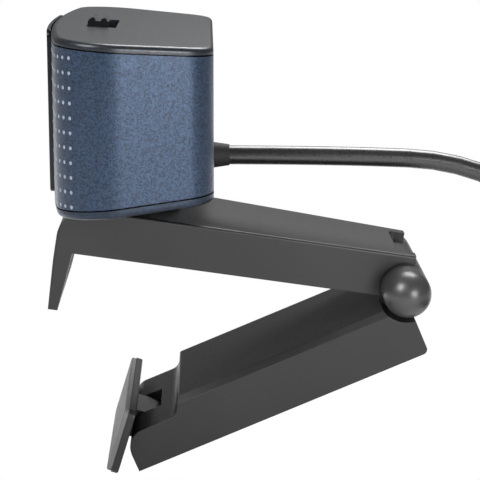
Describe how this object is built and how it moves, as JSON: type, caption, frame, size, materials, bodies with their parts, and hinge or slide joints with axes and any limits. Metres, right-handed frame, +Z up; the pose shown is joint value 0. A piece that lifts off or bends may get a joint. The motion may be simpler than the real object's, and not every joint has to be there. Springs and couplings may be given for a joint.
{
  "type": "clip-on webcam",
  "caption": "Wide tapered webcam with a raised lens panel, privacy slider and USB cable, on a folding monitor clip with a hinged leg and swivelling foot.",
  "frame": {"origin": "middle of the rubber seat pad's face, where the clip rests on a monitor's top edge", "axes": "+X across the webcam, -Y the way the lens looks, +Z up"},
  "size_m": [0.0815, 0.1549, 0.0822],
  "materials": {
    "wrap_paint": "blue-grey metallic paint",
    "top_cover": "dark satin plastic",
    "bottom_cover": "blue satin plastic",
    "bezel_gloss": "glossy black",
    "window_glass": "clear window",
    "slider_black": "glossy black",
    "black_plastic": "matte black",
    "lens_glass": "coated glass",
    "component": "dark components",
    "board": "green solder mask",
    "steel": "plain steel",
    "hinge_black": "glossy black plastic",
    "rubber": "black rubber",
    "foot_rubber": "grey rubber",
    "clip_plastic": "dark grey satin plastic",
    "cable_jacket": "black cable jacket",
    "plug_metal": "nickel plated steel"
  },
  "bodies": {
    "clip": {"clip_arm": "clip_plastic", "arm_under_plate": "clip_plastic", "seat_pad": "rubber", "lip_pad": "rubber", "plate_screw": "steel", "hinge_pin": "hinge_black", "hinge_cap": "hinge_black"},
    "neck": {"swivel_post": "black_plastic", "swivel_washer": "steel", "swivel_screw": "steel"},
    "camera": {"wrap_shell": "wrap_paint", "top_cover": "top_cover", "bottom_cover": "bottom_cover", "front_bezel": "bezel_gloss", "lens_window": "window_glass", "lens_barrel": "black_plastic", "lens_glass": "lens_glass", "lens_holder": "black_plastic", "infrared_filter": "lens_glass", "image_sensor": "component", "main_board": "board", "board_standoffs": "black_plastic", "board_screws": "steel", "microphones": "component", "status_light": "component", "light_pipe": "component", "cable_header": "component", "body_screws": "steel", "tilt_pin": "steel", "cable_grommet": "rubber", "usb_cable_run": "cable_jacket", "usb_cable_coil": "cable_jacket", "usb_cable_tail": "cable_jacket", "cable_tie": "rubber", "plug_relief": "rubber", "plug_body": "black_plastic", "plug_shell": "plug_metal", "plug_tongue": "component"},
    "shutter": {"shutter_knob": "slider_black", "shutter_blade": "slider_black"},
    "leg": {"leg_shell": "clip_plastic", "leg_under_plate": "clip_plastic", "hinge_washers": "steel", "foot_pin": "steel"},
    "foot": {"foot_plate": "clip_plastic", "foot_pad": "foot_rubber"}
  },
  "joints": [
    {"name": "camera_pan", "type": "hinge", "parent": "clip", "child": "neck", "pos_m": [0, 0.00222, 0.0085], "axis": [0, 0.1633, 0.9866], "range_deg": [-40, 40]},
    {"name": "camera_tilt", "type": "hinge", "parent": "neck", "child": "camera", "pos_m": [0, 0.00366, 0.01718], "axis": [-1, 0, 0], "range_deg": [-0.5, 15]},
    {"name": "shutter_slide", "type": "slide", "parent": "camera", "child": "shutter", "axis": [-1, 0, 0], "range_m": [0, 0.0076]},
    {"name": "leg_fold", "type": "hinge", "parent": "clip", "child": "leg", "pos_m": [0, 0.04995, -0.0056], "axis": [1, 0, 0], "range_deg": [-20, 70]},
    {"name": "foot_tilt", "type": "hinge", "parent": "leg", "child": "foot", "pos_m": [0, 0.00345, -0.03425], "axis": [1, 0, 0], "range_deg": [-30, 45]}
  ]
}
